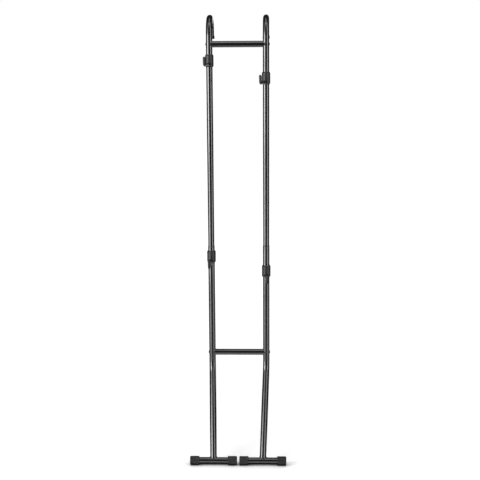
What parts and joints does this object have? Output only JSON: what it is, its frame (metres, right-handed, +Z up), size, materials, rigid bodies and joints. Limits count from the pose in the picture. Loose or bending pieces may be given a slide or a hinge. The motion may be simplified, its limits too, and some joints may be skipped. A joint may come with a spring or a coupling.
{
  "type": "bike stand",
  "caption": "Tall bike stand of black steel tube that leans on a wall, with cane-shaped tops, crossbars, splayed feet and swivelling, height-adjustable carrier arms.",
  "frame": {"origin": "on the floor, midway between the uprights and midway between the front of the feet and the wall pads", "axes": "+Z up along the uprights, -Y to the front where the arms reach, +X to the viewer's right"},
  "size_m": [0.4816, 0.509, 2.2167],
  "materials": {
    "powder_coat": "semi-gloss black powder coat",
    "black_fastener": "satin black oxide",
    "plain_steel": "zinc plated",
    "brass": "turned",
    "collar_nylon": "moulded, fine grain",
    "liner_nylon": "moulded, smooth",
    "knob_plastic": "moulded, fine grain",
    "foot_rubber": "moulded rubber with grooves",
    "bumper_rubber": "moulded rubber",
    "sleeve_vinyl": "dipped soft vinyl"
  },
  "bodies": {
    "frame": {"left_upper_post": "powder_coat", "left_lower_leg": "powder_coat", "left_foot_bar": "powder_coat", "left_foot_weld": "powder_coat", "left_wall_bumper": "bumper_rubber", "left_foot_outer_cap": "foot_rubber", "left_foot_inner_cap": "foot_rubber", "right_upper_post": "powder_coat", "right_lower_leg": "powder_coat", "right_foot_bar": "powder_coat", "right_foot_weld": "powder_coat", "right_wall_bumper": "bumper_rubber", "right_foot_outer_cap": "foot_rubber", "right_foot_inner_cap": "foot_rubber", "top_crossbar": "powder_coat", "bottom_crossbar": "powder_coat", "crossbar_plugs": "plain_steel", "crossbar_washers": "black_fastener", "crossbar_bolts": "black_fastener"},
    "upper_left_glide": {"upper_left_liner": "liner_nylon"},
    "upper_left_carrier": {"upper_left_collar": "collar_nylon", "upper_left_arm_rod": "plain_steel", "upper_left_arm_sleeve": "sleeve_vinyl", "upper_left_arm_pin": "plain_steel", "upper_left_thread_insert": "brass"},
    "upper_left_clamp": {"upper_left_knob": "knob_plastic", "upper_left_knob_stud": "plain_steel"},
    "upper_right_glide": {"upper_right_liner": "liner_nylon"},
    "upper_right_carrier": {"upper_right_collar": "collar_nylon", "upper_right_arm_rod": "plain_steel", "upper_right_arm_sleeve": "sleeve_vinyl", "upper_right_arm_pin": "plain_steel", "upper_right_thread_insert": "brass"},
    "upper_right_clamp": {"upper_right_knob": "knob_plastic", "upper_right_knob_stud": "plain_steel"},
    "lower_left_glide": {"lower_left_liner": "liner_nylon"},
    "lower_left_carrier": {"lower_left_collar": "collar_nylon", "lower_left_arm_rod": "plain_steel", "lower_left_arm_sleeve": "sleeve_vinyl", "lower_left_arm_pin": "plain_steel", "lower_left_thread_insert": "brass"},
    "lower_left_clamp": {"lower_left_knob": "knob_plastic", "lower_left_knob_stud": "plain_steel"},
    "lower_right_glide": {"lower_right_liner": "liner_nylon"},
    "lower_right_carrier": {"lower_right_collar": "collar_nylon", "lower_right_arm_rod": "plain_steel", "lower_right_arm_sleeve": "sleeve_vinyl", "lower_right_arm_pin": "plain_steel", "lower_right_thread_insert": "brass"},
    "lower_right_clamp": {"lower_right_knob": "knob_plastic", "lower_right_knob_stud": "plain_steel"}
  },
  "joints": [
    {"name": "upper_left_height", "type": "slide", "parent": "frame", "child": "upper_left_glide", "axis": [0, 0, 1], "range_m": [-0.897, 0.0301]},
    {"name": "upper_left_swivel", "type": "hinge", "parent": "upper_left_glide", "child": "upper_left_carrier", "pos_m": [-0.14, 0.06552, 1.992], "axis": [0, 0, 1], "range_deg": [-86.7, 33.3]},
    {"name": "upper_left_knob_turn", "type": "hinge", "parent": "upper_left_carrier", "child": "upper_left_clamp", "pos_m": [-0.14, 0.06552, 1.992], "axis": [0.0576, 0.9983, 0], "range_deg": [0, 360]},
    {"name": "upper_right_height", "type": "slide", "parent": "frame", "child": "upper_right_glide", "axis": [0, 0, 1], "range_m": [-0.811, 0.1161]},
    {"name": "upper_right_swivel", "type": "hinge", "parent": "upper_right_glide", "child": "upper_right_carrier", "pos_m": [0.14, 0.06552, 1.906], "axis": [0, 0, 1], "range_deg": [-22.9, 97.1]},
    {"name": "upper_right_knob_turn", "type": "hinge", "parent": "upper_right_carrier", "child": "upper_right_clamp", "pos_m": [0.14, 0.06552, 1.906], "axis": [0.1236, 0.9923, 0], "range_deg": [0, 360]},
    {"name": "lower_left_height", "type": "slide", "parent": "frame", "child": "lower_left_glide", "axis": [0, 0, 1], "range_m": [-0.4581, 0.025]},
    {"name": "lower_left_swivel", "type": "hinge", "parent": "lower_left_glide", "child": "lower_left_carrier", "pos_m": [-0.14, 0.06552, 1.006], "axis": [0, 0, 1], "range_deg": [-90, 30]},
    {"name": "lower_left_knob_turn", "type": "hinge", "parent": "lower_left_carrier", "child": "lower_left_clamp", "pos_m": [-0.14, 0.06552, 1.006], "axis": [0, 1, 0], "range_deg": [0, 360]},
    {"name": "lower_right_height", "type": "slide", "parent": "frame", "child": "lower_right_glide", "axis": [0, 0, 1], "range_m": [-0.3821, 0.101]},
    {"name": "lower_right_swivel", "type": "hinge", "parent": "lower_right_glide", "child": "lower_right_carrier", "pos_m": [0.14, 0.06552, 0.93], "axis": [0, 0, 1], "range_deg": [-31.4, 88.6]},
    {"name": "lower_right_knob_turn", "type": "hinge", "parent": "lower_right_carrier", "child": "lower_right_clamp", "pos_m": [0.14, 0.06552, 0.93], "axis": [-0.0244, 0.9997, 0], "range_deg": [0, 360]}
  ]
}
